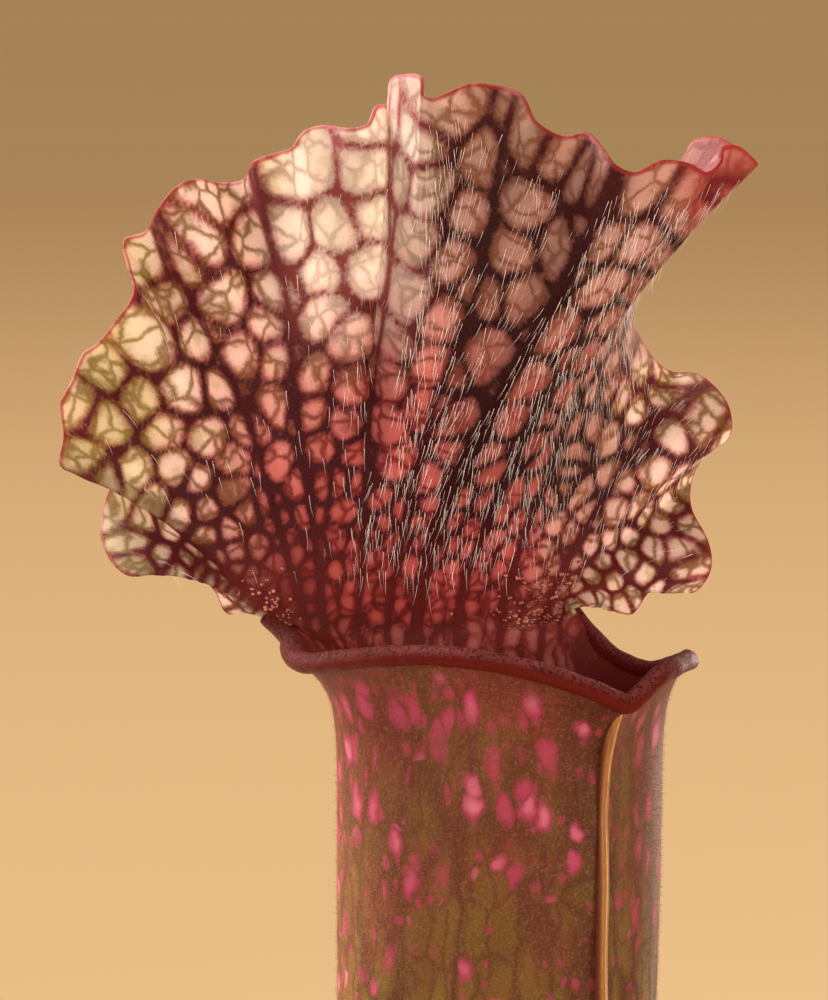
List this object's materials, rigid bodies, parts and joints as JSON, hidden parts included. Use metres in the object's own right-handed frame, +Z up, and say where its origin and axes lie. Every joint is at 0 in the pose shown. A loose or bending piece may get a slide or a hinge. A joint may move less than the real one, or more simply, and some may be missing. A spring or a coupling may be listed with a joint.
{
  "type": "trumpet pitcher plant in a pot",
  "caption": "Carnivorous trumpet pitcher plant with a ruffled, veined hood over a spotted tube, growing in a plain round pot.",
  "frame": {"origin": "middle of the pot's flat base", "axes": "+Z up; the picture is taken along +Y, with the tall pitcher's front 35 degrees to the viewer's right"},
  "size_m": [0.1466, 0.1333, 0.3966],
  "materials": {
    "pot_plastic": "matt",
    "peat": "rough, moist",
    "rhizome": "rough",
    "red_leaf": "satin",
    "mixed_leaf": "satin",
    "green_leaf": "satin"
  },
  "bodies": {
    "root": {"pot": "pot_plastic", "soil": "peat", "rhizome": "rhizome", "tall_pitcher": "red_leaf", "left_pitcher": "mixed_leaf", "right_pitcher": "mixed_leaf", "rear_right_pitcher": "mixed_leaf", "rear_left_pitcher": "mixed_leaf", "front_young_pitcher": "green_leaf", "middle_young_pitcher": "green_leaf"}
  },
  "joints": []
}
